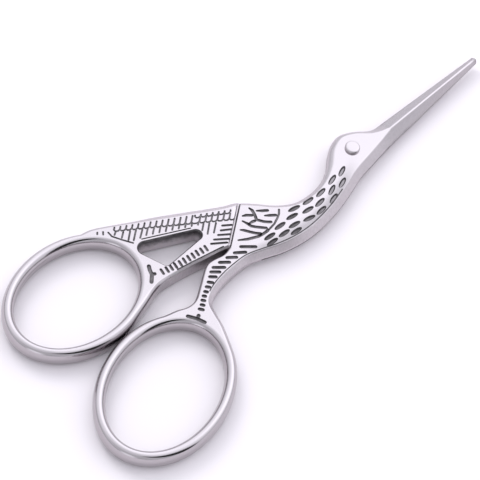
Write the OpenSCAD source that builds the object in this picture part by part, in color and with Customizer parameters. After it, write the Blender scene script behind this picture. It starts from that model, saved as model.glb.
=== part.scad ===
// Embroidery scissors in the shape of a stork.
// Two pressed steel halves are lapped at the neck and turn on one rivet at the eye. The leg half
// carries the front layer of neck, head and beak, the tail half the back layer.
// The shape is drawn about the rivet: X runs to the tip of the beak, Z up through the two layers.

/* [Thickness] */
// Full thickness of rings, leg and tail, and of the two lapped layers together
thick = 4.1; // [3.4:0.1:5]
// Clearance between the two lapped faces
lap_gap = 0.04; // [0.02:0.01:0.1]
// Clearance at the two shoulders, where a layer ends against the other half
seam_gap = 0.14; // [0.08:0.02:0.3]

/* [Finger rings] */
// Half length of the tail ring's hole
tail_hole_a = 12.9; // [11:0.1:15]
// Half width of the tail ring's hole
tail_hole_b = 9.55; // [8:0.1:11]
// Half length of the leg ring's hole
leg_hole_a = 13.7; // [11:0.1:15]
// Half width of the leg ring's hole
leg_hole_b = 9.8; // [8:0.1:11]
// Width of the ring bars, seen from above
ring_bar = 2.4; // [2:0.1:3]
// From the rivet to the middle of the tail ring, along the scissors
tail_reach = 62.8; // [60:0.2:66]
// From the rivet to the middle of the leg ring, along the scissors
leg_reach = 63.9; // [61:0.2:67]
// How far the leg ring is turned from the length of the scissors
leg_ring_tilt = 17.5; // [10:0.5:22]
// Height of the line on which the closed rings meet
ring_meet = -0.3; // [-0.8:0.1:0.2]
// Gap between the closed rings
ring_gap = 0.26; // [0.1:0.02:0.6]

/* [Beak] */
// From the rivet to the tip of the beak
beak_reach = 37; // [32:0.2:42]
// From the rivet to the root of the beak, where its ridge begins
beak_root = 9.5; // [8.5:0.1:11]
// Width of the closed beak at its root
beak_root_w = 4.16; // [3.6:0.02:4.8]
// Width of the closed beak at its tip
beak_tip_w = 1.3; // [1:0.05:1.8]
// Height of the beak's middle line at its root
beak_root_y = -1.5; // [-1.8:0.05:-1.2]
// Height of the beak's middle line at its tip
beak_tip_y = -0.95; // [-1.6:0.05:-0.6]
// Thickness of one blade at its tip
tip_thick = 0.95; // [0.7:0.05:1.4]
// Height of the plain wall along a blade's back
spine_wall = 0.85; // [0.5:0.05:1.1]
// Flat that the grinding leaves along a cutting edge
edge_flat = 0.1; // [0.06:0.02:0.2]
// Width of the polished flat along the ridge
ridge_flat = 0.34; // [0.2:0.02:0.5]
// How far the ridge lies from the middle line, towards the cutting edge
ridge_side = 0.2; // [0:0.02:0.35]

/* [Head and neck] */
// Top of the head above the rivet
crown = 4.2; // [3.8:0.1:4.8]
// Throat edge below the rivet
throat = 4.85; // [4.6:0.05:5.4]
// From the rivet back to the hollow of the neck
hollow_back = 13.8; // [12.8:0.1:14.8]
// Hollow of the neck, below the rivet
hollow_drop = 1.65; // [1.2:0.05:2]
// From the rivet back to the lowest point of the breast
breast_back = 18.8; // [18:0.1:19.8]
// Lowest point of the breast, below the rivet
breast_drop = 8.3; // [8:0.1:9]

/* [Body] */
// From the rivet back to the corner where the tail begins
corner_back = 25.6; // [25:0.1:26.4]
// Corner where the tail begins, above the rivet
corner_rise = 5.95; // [5.5:0.05:6.4]
// From the rivet back to the notch between tail and leg
notch_back = 34.3; // [33.6:0.1:35]
// Underside of the leg below the notch
thigh = 4.3; // [4:0.1:5]
// From the rivet back to where the back shoulder leaves the breast
shoulder_back = 30.9; // [30.2:0.1:31.6]

/* [Tail window] */
// Radius of the window's upper corner, beside the ring
window_top_r = 1.4; // [1:0.05:1.6]
// Radius of the window's lower corner, beside the ring
window_low_r = 0.7; // [0.5:0.05:1]
// Radius of the window's far end
window_end_r = 1.05; // [0.8:0.05:1.2]
// Chamfer round the window
window_edge = 0.3; // [0.1:0.05:0.4]

/* [Rivet] */
// Diameter of the rivet's shank
rivet_d = 2.1; // [1.6:0.1:2.4]
// Running clearance between shank and holes, on the radius
rivet_gap = 0.03; // [0.02:0.01:0.08]
// Diameter of the rivet's head
head_d = 3; // [2.8:0.1:3.6]
// Height of the rivet's head
head_h = 0.65; // [0.4:0.05:0.9]
// Width of the bevel round the rivet's head
head_bevel = 0.25; // [0.1:0.05:0.4]
// Diameter of the spread end in the back face
foot_d = 3; // [2.8:0.1:3.4]
// Depth of the spread end
foot_h = 0.6; // [0.4:0.05:0.8]

/* [Hidden] */

half = thick / 2;
steps = 3;                      // points on a curve between two drawn points
rounds = 4;                     // steps from a wall to a flat face
arc_step = 6;                   // degrees between points on a ring
corner_step = 20;               // degrees between points on the window's corners
beak_steps = 6;                 // lengths that a blade is drawn in
ring_edge = ring_bar / 2 - 0.05;
tip_round = 0.35;
leg_free = [38, 325];           // angles between which a ring's bar runs free of leg and tail
tail_free = [52, 285];
window_turns = [63, -100, -162];  // directions square to the window's upper, lower and ring sides
window_flat = 0.7;
over = 1;                       // how far a cutter runs past what it cuts
far = 60;                       // a cutter's outer corners lie this far out
notch = [-notch_back, 0];
corner = [-corner_back, corner_rise];
shoulder = [-shoulder_back, -thigh * 1.267];
split = notch * 1.108 + [0, 0.35];   // in the slot between tail and leg

// A ring is [x, y, tilt, half length, half width]; the numbers are those of its hole
tail_ring = [-tail_reach, ring_meet + ring_gap / 2 + tail_hole_b + ring_bar, 0,
             tail_hole_a, tail_hole_b];
leg_ring_rise = norm([(leg_hole_a + ring_bar) * sin(leg_ring_tilt),
                      (leg_hole_b + ring_bar) * cos(leg_ring_tilt)]);
leg_ring = [-leg_reach, ring_meet - ring_gap / 2 - leg_ring_rise, leg_ring_tilt,
            leg_hole_a, leg_hole_b];

function mix(a, b, t) = a + (b - a) * t;
function clamp(t) = min(1, max(0, t));
function last(p) = p[len(p) - 1];
function but_last(p) = [for (k = [0 : len(p) - 2]) p[k]];

// Every outline point is [x, y, edge, flat]. The edge reaches that far inwards, and flat says how
// flat it is: 0 is round as on a bar, 1 is a ground bevel, and the curve blends between them.
// A smooth curve runs through drawn points; the two end points only steer it.
function curve_point(a, b, c, d, t) =
    (2 * b + (c - a) * t + (2 * a - 5 * b + 4 * c - d) * t * t
     + (3 * b - a - 3 * c + d) * t * t * t) / 2;
function curve(p) = [
    for (i = [1 : len(p) - 3]) for (k = [0 : steps - 1])
        curve_point(p[i - 1], p[i], p[i + 1], p[i + 2], k / steps)];

// Point of a ring's oval, grown by a width
function oval(ring, grow, angle) =
    let (u = (ring[3] + grow) * cos(angle), v = (ring[4] + grow) * sin(angle))
    [ring[0] + u * cos(ring[2]) - v * sin(ring[2]), ring[1] + u * sin(ring[2]) + v * cos(ring[2])];
// Point near a ring, beyond its bar by a share of the bar's width
function by_ring(ring, beyond, angle, edge, flat) =
    concat(oval(ring, ring_bar * (1 + beyond), angle), [edge, flat]);
function ring_arc(ring, ends) =
    let (n = ceil((ends[1] - ends[0]) / arc_step))
    [for (k = [0 : n]) by_ring(ring, 0, mix(ends[0], ends[1], k / n), ring_edge, 0)];

// The closed beak tapers evenly from its root to its tip
function along(x) = clamp((x - beak_root) / (beak_reach - beak_root));
function beak_mid(x) = mix(beak_root_y, beak_tip_y, along(x));
function beak_half(x) = mix(beak_root_w, beak_tip_w, along(x)) / 2;
function top_height(x) = mix(half, tip_thick, along(x)) * (x > beak_reach - tip_round / 2 ? 0.6 : 1);
// A cutting side has the ridge nearer, a back side has it further away
function ground(x, cutting) = beak_half(x) + (cutting ? -ridge_side : ridge_side) - ridge_flat / 2;
function beak_x(k) = mix(beak_root, beak_reach - tip_round, k / beak_steps);
function beak_line(below, above) = concat(
    [for (k = [0 : beak_steps]) let (x = beak_x(k))
        [x, beak_mid(x) - beak_half(x), ground(x, below), 1]],
    [[beak_reach, beak_tip_y - beak_tip_w / 5, ridge_flat / 2, 1],
     [beak_reach, beak_tip_y + beak_tip_w / 5, ridge_flat / 2, 1]],
    [for (k = [beak_steps : -1 : 1]) let (x = beak_x(k))
        [x, beak_mid(x) + beak_half(x), ground(x, above), 1]]);

// Steers the curves of head and throat into the straight beak
beak_lead = beak_root * 1.316;

// Upper edge from the root of the beak over the head and down the neck to the tail's corner
function crown_points(above) = [
    [beak_lead, beak_mid(beak_lead) + beak_half(beak_lead), ground(beak_lead, above), 1],
    [beak_root, beak_root_y + beak_root_w / 2, ground(beak_root, above), 1],
    [beak_root * 0.695, beak_root_y + beak_root_w * 0.596, 1.45, 0.75],
    [beak_root * 0.379, crown * 0.7, 1.1, 0.6],
    [beak_root * 0.042, crown, 1.2, 0.55],
    [-hollow_back * 0.232, crown * 0.76, 1.2, 0.5],
    [-hollow_back * 0.48, crown * 0.155, 1.2, 0.5],
    [-hollow_back * 0.73, -hollow_drop * 0.67, 1.0, 0.55],
    [-hollow_back, -hollow_drop, 0.75, 0.6],
    [-mix(hollow_back, corner_back, 0.322), -hollow_drop * 0.667, 0.7, 0.6],
    [-mix(hollow_back, corner_back, 0.593), corner_rise * 0.16, 0.7, 0.6],
    [-mix(hollow_back, corner_back, 0.83), corner_rise * 0.664, 0.7, 0.6],
    [corner[0], corner[1], 0.8, 0.5]];

// Lower edge from below the thigh over the breast and the throat to the root of the beak
function breast_points(below) = [
    [-mix(shoulder_back, notch_back, 0.765), -thigh * 1.058, 0.65, 0.7],
    [-shoulder_back * 0.987, -thigh * 1.302, 0.65, 0.7],
    [-mix(breast_back, shoulder_back, 0.678), -breast_drop * 0.843, 0.7, 0.7],
    [-mix(breast_back, shoulder_back, 0.347), -breast_drop * 0.958, 0.75, 0.7],
    [-breast_back, -breast_drop, 0.75, 0.7],
    [-breast_back * 0.745, -breast_drop * 0.958, 0.9, 0.7],
    [-breast_back * 0.521, -breast_drop * 0.867, 1.1, 0.7],
    [-breast_back * 0.319, -throat * 1.278, 1.1, 0.75],
    [-breast_back * 0.133, -throat * 1.082, 1.1, 0.75],
    [beak_root * 0.211, -throat * 0.948, 1.2, 0.8],
    [beak_root * 0.632, beak_root_y - beak_root_w * 0.613, 1.5, 0.9],
    [beak_root, beak_root_y - beak_root_w / 2, ground(beak_root, below), 1],
    [beak_lead, beak_mid(beak_lead) - beak_half(beak_lead), ground(beak_lead, below), 1]];

// Points of tail and leg keep their place between the body and the ring when a ring is moved
function tail_top(across, up, edge, flat) =
    [mix(corner[0], tail_ring[0], across),
     mix(corner[1], tail_ring[1] + tail_hole_b + ring_bar, up), edge, flat];
tail_back = [
    tail_top(0.1, 0.12, 1.1, 0.5),
    tail_top(0.253, 0.317, 1.2, 0.4),
    tail_top(0.414, 0.518, 1.2, 0.4),
    tail_top(0.562, 0.7, 1.2, 0.3),
    tail_top(0.68, 0.83, 1.2, 0.1)];
// Below the body they lie between the notch and a ring, at a share of the thigh's height
function from_notch(ring, across, rise, edge, flat) =
    [mix(notch[0], ring[0], across), notch[1] + rise * thigh, edge, flat];
tail_low = [
    by_ring(tail_ring, 0.125, 302.5, ring_edge, 0),
    by_ring(tail_ring, 0.458, 313, 1.0, 0.3),
    by_ring(tail_ring, 0.875, 320.5, 0.55, 0.8),
    from_notch(tail_ring, 0.386, 0.547, 0.45, 1),
    from_notch(tail_ring, 0.281, 0.419, 0.45, 1),
    from_notch(tail_ring, 0.175, 0.267, 0.45, 1),
    from_notch(tail_ring, 0.081, 0.14, 0.45, 1),
    from_notch(tail_ring, 0, 0, 0.4, 1)];
leg_high = [
    from_notch(leg_ring, 0, 0, 0.35, 0.8),
    from_notch(leg_ring, 0.074, -0.093, 0.35, 0.8),
    from_notch(leg_ring, 0.169, 0.035, 0.35, 0.8),
    from_notch(leg_ring, 0.233, -0.047, 0.35, 0.8),
    from_notch(leg_ring, 0.348, -0.523, 0.4, 0.8),
    from_notch(leg_ring, 0.443, -0.884, 0.5, 0.6),
    by_ring(leg_ring, 0.604, 19, 0.7, 0.4),
    by_ring(leg_ring, 0.313, 27.5, 1.0, 0.2)];
leg_low = [
    by_ring(leg_ring, 0.167, 337.5, ring_edge, 0),
    by_ring(leg_ring, 0.542, 347.5, 1.1, 0.2),
    by_ring(leg_ring, 0.917, 356, 1.0, 0.4),
    from_notch(leg_ring, 0.372, -1.488, 0.85, 0.6),
    from_notch(leg_ring, 0.301, -1.209, 0.7, 0.7),
    from_notch(leg_ring, 0.193, -1.047, 0.65, 0.7),
    from_notch(leg_ring, 0.074, -1, 0.65, 0.7)];

// Each outline runs anticlockwise and starts at the root of the beak, on its upper side.
// Past its shoulder it takes in a strip of the other half, which the shoulder then cuts off.
leg_arc = ring_arc(leg_ring, leg_free);
leg_strip = [notch[0], notch[1] + thigh * 0.9, 0.4, 1];
leg_body = concat(
    curve(concat(crown_points(false), [tail_back[0], tail_back[1]])),
    [tail_back[0], leg_strip],
    curve(concat([leg_high[0]], leg_high, [leg_arc[0], leg_arc[1]])),
    but_last(leg_arc),
    curve(concat([last(but_last(leg_arc)), last(leg_arc)], leg_low, breast_points(true))));
tail_arc = ring_arc(tail_ring, tail_free);
tail_strip = [from_notch(tail_ring, 0.067, -0.465, 0.4, 1), from_notch(tail_ring, 0.077, -1, 0.1, 1)];
tail_body = concat(
    curve(concat(crown_points(true), tail_back, [tail_arc[0], tail_arc[1]])),
    but_last(tail_arc),
    curve(concat([last(but_last(tail_arc)), last(tail_arc)], tail_low, [last(tail_low)])),
    [last(tail_low), tail_strip[0]],
    curve(concat([tail_strip[1], tail_strip[1]], breast_points(false))));

// Holes run clockwise, so that the metal is on the left of every line
function finger_hole(ring) =
    [for (a = [180 : -arc_step : -180 + arc_step]) by_ring(ring, -1, a, ring_edge, 0)];
// The window's corners: where the middle of each rounding lies, its radius, and its two ends
tail_end_x = tail_ring[0] + tail_hole_a + ring_bar;
window_corners = [
    [[mix(tail_end_x, notch[0], 0.765), corner_rise * 1.025], window_end_r,
     window_turns[0], window_turns[1]],
    [[mix(tail_end_x, notch[0], 0.129), corner_rise * 0.916], window_low_r,
     window_turns[1], window_turns[2]],
    [[mix(tail_end_x, notch[0], 0.053), corner_rise * 1.756], window_top_r,
     window_turns[2], window_turns[0] - 360]];
tail_window = [for (c = window_corners) let (n = ceil((c[2] - c[3]) / corner_step))
    for (k = [0 : n]) let (a = mix(c[2], c[3], k / n))
        concat(c[0] + c[1] * [cos(a), sin(a)], [window_edge, window_flat])];

// Height of the plain wall below an edge: the wider the edge, the lower the wall.
// On the head the wall changes to the beak's: thin on a cutting side, tall on a back side.
function wall(p, cutting) =
    let (plain = max(edge_flat, half - p[2] * half / (ring_bar / 2)),
         beak = cutting ? edge_flat : spine_wall * top_height(p[0]) / half)
    mix(plain, beak, clamp((p[0] - 2) / (beak_root - 2)));

// One level of an edge, from 0 at the plain wall to 1 at the flat face; up is 1 or -1
function level(line, cutting_below, t, up) =
    let (n = len(line))
    [for (i = [0 : n - 1])
        let (p = line[i],
             d = line[(i + 1) % n] - line[(i + n - 1) % n],
             inward = [-d[1], d[0]] / norm([d[0], d[1]]),
             w = wall(p, (inward[1] > 0) == cutting_below),
             q = [p[0], p[1]] + inward * p[2] * mix(1 - cos(90 * t), t, p[3]),
             z = w + (top_height(p[0]) - w) * mix(sin(90 * t), t, p[3]))
        [q[0], q[1], up * z]];

// Cuts a flat shape into triangles, corner by corner
function turn(a, b, c) = (b[0] - a[0]) * (c[1] - a[1]) - (b[1] - a[1]) * (c[0] - a[0]);
function is_free(points, ids, a, b, c) =
    turn(a, b, c) > 0 && len([for (i = ids) let (p = points[i])
        if (p != a && p != b && p != c
            && turn(a, b, p) >= 0 && turn(b, c, p) >= 0 && turn(c, a, p) >= 0) i]) == 0;
function triangles(points, ids, k = 0, tries = 0, done = []) =
    let (n = len(ids), i = k % n, j = (i + 1) % n, m = (i + 2) % n)
    n == 3 ? concat(done, [ids])
    : is_free(points, ids, points[ids[i]], points[ids[j]], points[ids[m]]) || tries > n
    ? triangles(points, [for (q = [0 : n - 1]) if (q != j) ids[q]], i + 1, 0,
                concat(done, [[ids[i], ids[j], ids[m]]]))
    : triangles(points, ids, i + 1, tries + 1, done);
function nearest(line, p) =
    let (d = [for (q = line) norm([q[0] - p[0], q[1] - p[1]])]) search(min(d), d)[0];

// Plate with rounded edges: its body's outline, the beak's outline and its holes
module rounded_plate(body, beak, holes, cutting_below) {
    lines = concat([concat(body, beak)], holes);
    starts = [for (i = 0, s = 0; i < len(lines); s = s + len(lines[i]), i = i + 1) s];
    n = last(starts) + len(last(lines));
    marks = [for (up = [-1, 1]) for (k = [0 : rounds]) [up > 0 ? k : rounds - k, up]];
    levels = [for (m = marks)
        [for (line = lines) each level(line, cutting_below, m[0] / rounds, m[1])]];
    flat = last(levels);
    joins = [for (i = [1 : len(holes)])
        nearest([for (k = [0 : len(body) - 1]) flat[k]], flat[starts[i]])];
    body_ids = [for (k = [0 : len(body)]) each concat([k],
        [for (i = [1 : len(holes)]) if (joins[i - 1] == k) each concat(
            [for (j = [0 : len(lines[i]) - 1]) starts[i] + j], [starts[i], k])])];
    face = concat(
        triangles(flat, body_ids),
        [for (k = [0 : beak_steps])
            let (a = len(body) + k, b = len(body) + len(beak) - k, c = b % len(lines[0]))
            each [[a, a + 1, b - 1], [a, b - 1, c]]]);
    top = (len(levels) - 1) * n;
    polyhedron(
        points = [for (one = levels) each one],
        faces = concat(
            face,
            [for (j = [0 : len(levels) - 2]) for (l = [0 : len(lines) - 1])
                for (i = [0 : len(lines[l]) - 1])
                    let (a = j * n + starts[l] + i, b = j * n + starts[l] + (i + 1) % len(lines[l]))
                    each [[a, a + n, b + n], [a, b + n, b]]],
            [for (f = face) [top + f[2], top + f[1], top + f[0]]]));
}

// Everything on one side of a shoulder line, between two heights; the other corners are far out
module beyond(points, from, to)
    translate([0, 0, from]) linear_extrude(to - from) offset(delta = seam_gap / 2) polygon(points);

front_shoulder = [corner + (corner - notch), notch];
back_shoulder = [shoulder + (shoulder - notch), notch];
shank_r = rivet_d / 2;
foot_r = foot_d / 2;

module leg_half()
    color("gainsboro")
    difference() {
        rounded_plate(leg_body, beak_line(true, false), [finger_hole(leg_ring)], true);
        beyond(concat(front_shoulder, [split, [split[0], far], [corner[0], far]]),
               -half - 2 * over, half + over);
        beyond(concat(back_shoulder, [[notch[0], far], [far, far], [far, -far]]),
               -half - over, lap_gap / 2);
        translate([0, 0, -over]) cylinder(h = half + 2 * over, r = shank_r + rivet_gap, $fn = 48);
    }

module tail_half()
    color("silver")
    difference() {
        rounded_plate(tail_body, beak_line(false, true), [finger_hole(tail_ring), tail_window], false);
        beyond(concat(back_shoulder, [split, [split[0], -far], [shoulder[0], -far]]),
               -half - over, half + 2 * over);
        beyond(concat(front_shoulder, [[notch[0], -far], [far, -far], [far, far]]),
               -lap_gap / 2, half + over);
        // Hole for the shank, widened at the back for the spread end
        rotate_extrude($fn = 48)
            polygon([[0, -half - over], [foot_r + rivet_gap, -half - over],
                     [foot_r + rivet_gap, -half], [shank_r + rivet_gap, foot_h - half],
                     [shank_r + rivet_gap, over], [0, over]]);
    }

module pivot_rivet()
    color("lightgray")
    rotate_extrude($fn = 48)
        polygon(concat(
            [[0, -half], [foot_r, -half], [shank_r, foot_h - half], [shank_r, half + lap_gap / 2],
             [head_d / 2, half + lap_gap / 2]],
            [for (a = [0 : 30 : 90]) [head_d / 2 - head_bevel * (1 - cos(a)),
                                      half + head_h - head_bevel * (1 - sin(a))]],
            [[0, half + head_h]]));

// The origin is under the middle of the closed scissors, on the surface they lie on
left = min([for (p = leg_body) p[0]]);
low = min([for (p = leg_body) p[1]]);
high = max([for (p = tail_body) p[1]]);
module placed() translate([-(left + beak_reach) / 2, -(low + high) / 2, half]) children();

placed() leg_half();
placed() tail_half();
placed() pivot_rivet();
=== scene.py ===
# %% [markdown]
# # Stork embroidery scissors
# A small pair of steel scissors in the shape of a standing stork. The beak is the two blades, the
# rivet is the bird's eye, and the finger rings stand behind its tail and its leg. There are only
# three real pieces: a half with the leg, a half with the tail, and the rivet. Nearly all of the
# work is in two things: edges that change from round to ground flat as they run round the bird,
# and the feathers, which are pressed into the flat faces and blackened.

# %% Load the fixed frame
from math import atan, ceil, cos, pi, radians, sin

import bmesh
import bpy
from mathutils import Matrix, Vector


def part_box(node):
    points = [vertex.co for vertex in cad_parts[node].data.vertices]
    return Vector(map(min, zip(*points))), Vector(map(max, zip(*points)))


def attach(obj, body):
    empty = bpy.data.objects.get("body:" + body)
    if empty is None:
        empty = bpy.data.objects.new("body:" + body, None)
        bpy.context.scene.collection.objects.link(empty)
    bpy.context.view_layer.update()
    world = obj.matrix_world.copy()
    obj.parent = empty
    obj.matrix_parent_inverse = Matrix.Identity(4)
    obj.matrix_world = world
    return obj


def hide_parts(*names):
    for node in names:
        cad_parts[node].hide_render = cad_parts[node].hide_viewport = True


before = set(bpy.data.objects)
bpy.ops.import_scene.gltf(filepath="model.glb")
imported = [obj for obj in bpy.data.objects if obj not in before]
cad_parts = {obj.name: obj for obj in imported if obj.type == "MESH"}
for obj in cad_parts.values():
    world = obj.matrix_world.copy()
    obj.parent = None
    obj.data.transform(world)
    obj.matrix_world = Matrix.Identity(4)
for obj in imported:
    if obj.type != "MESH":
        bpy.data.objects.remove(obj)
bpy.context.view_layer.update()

# %% [markdown]
# ## Drawing about the rivet
# Both halves turn about the rivet, so it is the natural zero for the drawing. Everything is drawn
# in millimetres from there, with X running to the tip of the beak and Z up through the two layers,
# and each finished mesh is scaled to metres and moved onto the rivet at the very end.

# %% The rivet's place and the thickness, read from the frame
MM = 0.001
rivet_low, rivet_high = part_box("pivot_rivet")
half_low, half_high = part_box("leg_half")
EYE = Vector(((rivet_low.x + rivet_high.x) / 2, (rivet_low.y + rivet_high.y) / 2,
              (half_low.z + half_high.z) / 2))
HALF = (half_high.z - half_low.z) / 2 / MM
print("rivet at", [round(c / MM, 2) for c in EYE], "half thickness", round(HALF, 2))


def mix(a, b, t):
    return a + (b - a) * t


def clamp(t):
    return min(1.0, max(0.0, t))


# %% [markdown]
# ## The outline of the bird
# A forged outline is best kept as few drawn points with a smooth curve through them. Each point
# carries three more numbers than its place: how far the edge reaches inwards there, how flat that
# edge is, from 0 for a round bar to 1 for a ground bevel, and how deep it comes down, as a share
# of a round bar's. The curve then blends all five, so the edge changes as gently as under a file.

# %% Smooth curves and ring ovals
CURVE_STEPS = 7
ARC_STEP = 3
BAR = 2.4
BAR_EDGE = BAR / 2 - 0.04
INSIDE = 0.02
TAIL_RING = dict(x=-62.8, y=11.78, tilt=0.0, a=12.9, b=9.55)
LEG_RING = dict(x=-63.9, y=-13.035, tilt=17.5, a=13.7, b=9.8)


def curve(points):
    """Catmull-Rom curve through all but the two end points, which only steer it."""
    line = []
    for a, b, c, d in zip(points, points[1:], points[2:], points[3:]):
        for k in range(CURVE_STEPS):
            t = k / CURVE_STEPS
            line.append(tuple(
                (2 * q + (r - p) * t + (2 * p - 5 * q + 4 * r - s) * t ** 2
                 + (3 * q - p - 3 * r + s) * t ** 3) / 2 for p, q, r, s in zip(a, b, c, d)))
    return line


def oval(ring, grow, angle):
    """A place on a ring's hole, grown outwards."""
    u, v = (ring["a"] + grow) * cos(radians(angle)), (ring["b"] + grow) * sin(radians(angle))
    c, s = cos(radians(ring["tilt"])), sin(radians(ring["tilt"]))
    return ring["x"] + u * c - v * s, ring["y"] + u * s + v * c


def ring_arc(ring, start, end):
    n = ceil((end - start) / ARC_STEP)
    return [oval(ring, BAR - INSIDE, mix(start, end, k / n)) + (BAR_EDGE, 0.0, 1.0)
            for k in range(n + 1)]


def by_ring(ring, beyond, angle, edge, flat):
    """A drawn point a little beyond the outer side of a ring."""
    return oval(ring, BAR + beyond, angle) + (edge, flat)


def bevelled(points, share):
    """Adds the depth of the edge to drawn points."""
    return [p + (share,) for p in points]


# %% [markdown]
# ## The beak
# The closed beak tapers evenly. Each blade has its ridge a little nearer to its cutting edge than
# to its back, and the two blades are the same shape turned over, so one function draws the
# outline of both and is told on which side the cutting edge lies.

# %% Taper, ridge and outline of the beak
ROOT, TIP = 9.5, 37.0
ROOT_W, TIP_W = 4.16, 1.3
ROOT_Y, TIP_Y = -1.5, -0.95
TIP_THICK, TIP_ROUND = 0.95, 0.35
TIP_THIN = 0.6
SPINE_WALL, EDGE_FLAT = 0.85, 0.1
RIDGE_FLAT, RIDGE_SIDE = 0.34, 0.2
BEAK_STEPS = 12


def along(x):
    return clamp((x - ROOT) / (TIP - ROOT))


def beak_mid(x):
    return mix(ROOT_Y, TIP_Y, along(x))


def beak_half(x):
    return mix(ROOT_W, TIP_W, along(x)) / 2


def ridge_height(x):
    return mix(HALF, TIP_THICK, along(x)) * (TIP_THIN if x > TIP - TIP_ROUND / 2 else 1)


def ground(x, cutting):
    """Width of the bevel between an edge of the beak and its ridge."""
    return beak_half(x) + (-RIDGE_SIDE if cutting else RIDGE_SIDE) - RIDGE_FLAT / 2


def beak_line(cutting_below):
    stations = [mix(ROOT, TIP - TIP_ROUND, k / BEAK_STEPS) for k in range(BEAK_STEPS + 1)]
    below = [(x, beak_mid(x) - beak_half(x), ground(x, cutting_below), 1.0) for x in stations]
    above = [(x, beak_mid(x) + beak_half(x), ground(x, not cutting_below), 1.0) for x in stations]
    end = [(TIP, TIP_Y + side * TIP_W / 5, RIDGE_FLAT / 2, 1.0) for side in (-1, 1)]
    return bevelled(below + end + above[:0:-1], 0.8)


print("beak", round(TIP - ROOT, 1), "mm long,", len(beak_line(True)), "points round it")

# %% [markdown]
# ## Head, neck, breast, tail and leg
# These are the drawn points. The numbers after each place are the reach of the edge and its
# flatness. The upper side of the head and neck has a wide and gentle bevel, the breast a steep and
# deep one with a clear crease against the polished face, and the inside of the leg is nearly square.

# %% Drawn points of the two halves
CORNER = (-25.6, 5.95)
NOTCH = (-34.3, 0.0)
SHOULDER = (-30.9, -5.45)
LEAD = ROOT + 3


def crown(cutting_above):
    return bevelled([
        (LEAD, beak_mid(LEAD) + beak_half(LEAD), ground(LEAD, cutting_above), 1.0),
        (ROOT, ROOT_Y + ROOT_W / 2, ground(ROOT, cutting_above), 1.0),
        (6.6, 0.98, 1.45, 0.75),
        (3.6, 2.94, 1.1, 0.6),
        (0.4, 4.2, 1.2, 0.55),
        (-3.2, 3.19, 1.2, 0.5),
        (-6.62, 0.65, 1.2, 0.5),
        (-10.07, -1.1, 1.0, 0.7),
        (-13.8, -1.65, 0.95, 0.9),
        (-17.6, -1.1, 0.9, 0.9),
        (-20.8, 0.95, 0.9, 0.9),
        (-23.6, 3.95, 0.9, 0.9),
        CORNER + (1.0, 0.9),
        (-26.4, 6.62, 1.0, 0.9)], 0.5)


def breast(cutting_below):
    return bevelled([
        (-33.5, -4.55, 0.95, 1.0),
        (-30.5, -5.6, 1.0, 1.0),
        (-27.0, -7.0, 1.1, 1.0),
        (-23.0, -7.95, 1.1, 1.0),
        (-18.8, -8.3, 1.15, 1.0),
        (-14.0, -7.95, 1.2, 1.0),
        (-9.8, -7.2, 1.3, 1.0),
        (-6.0, -6.2, 1.35, 1.0),
        (-2.5, -5.25, 1.4, 1.0),
        (2.0, -4.6, 1.45, 1.0),
        (6.0, -4.05, 1.55, 1.0),
        (ROOT, ROOT_Y - ROOT_W / 2, ground(ROOT, cutting_below), 1.0),
        (LEAD, beak_mid(LEAD) - beak_half(LEAD), ground(LEAD, cutting_below), 1.0)], 1.0)


TAIL_TOP = bevelled([
    (-29.32, 8.07, 1.1, 0.9),
    (-35.01, 11.55, 1.2, 0.9),
    (-41.0, 15.1, 1.2, 0.8)], 0.5) + bevelled([
    (-46.5, 18.3, 1.2, 0.3),
    (-50.9, 20.6, 1.2, 0.1)], 0.85)
TAIL_FOOT = bevelled([
    by_ring(TAIL_RING, 0.3, 302.5, BAR_EDGE, 0.0),
    by_ring(TAIL_RING, 1.1, 313, 1.0, 0.3)], 1.0) + bevelled([
    by_ring(TAIL_RING, 2.1, 320.5, 0.55, 0.8),
    (-45.3, 2.35, 0.45, 1.0),
    (-42.3, 1.8, 0.45, 1.0),
    (-39.3, 1.15, 0.45, 1.0),
    (-36.6, 0.6, 0.45, 1.0),
    NOTCH + (0.4, 1.0)], 0.6)
LEG_TOP = bevelled([
    NOTCH + (0.35, 0.8),
    (-36.5, -0.4, 0.35, 0.8),
    (-39.3, 0.15, 0.35, 0.8),
    (-41.2, -0.2, 0.35, 0.8),
    (-44.6, -2.25, 0.4, 0.8)], 0.7) + bevelled([
    (-47.4, -3.8, 0.5, 0.6),
    by_ring(LEG_RING, 1.45, 19, 0.7, 0.4),
    by_ring(LEG_RING, 0.75, 27.5, 1.0, 0.2)], 0.9)
LEG_FOOT = bevelled([
    by_ring(LEG_RING, 0.4, 337.5, BAR_EDGE, 0.0),
    by_ring(LEG_RING, 1.3, 347.5, 1.1, 0.2)], 1.0) + bevelled([
    by_ring(LEG_RING, 2.2, 356, 1.0, 0.5),
    (-45.3, -6.4, 0.95, 0.7),
    (-43.2, -5.2, 0.9, 0.8),
    (-40.0, -4.5, 0.9, 0.9),
    (-36.5, -4.3, 0.9, 0.9)], 0.8)

# %% [markdown]
# ## One closed line for each half
# Where the two halves are lapped, each is only half as thick, and its end is a square shoulder.
# Each outline therefore takes in a strip of the other half past its shoulder, and the shoulder is
# cut through it later, which leaves a crisp wall however the outline runs.

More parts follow.
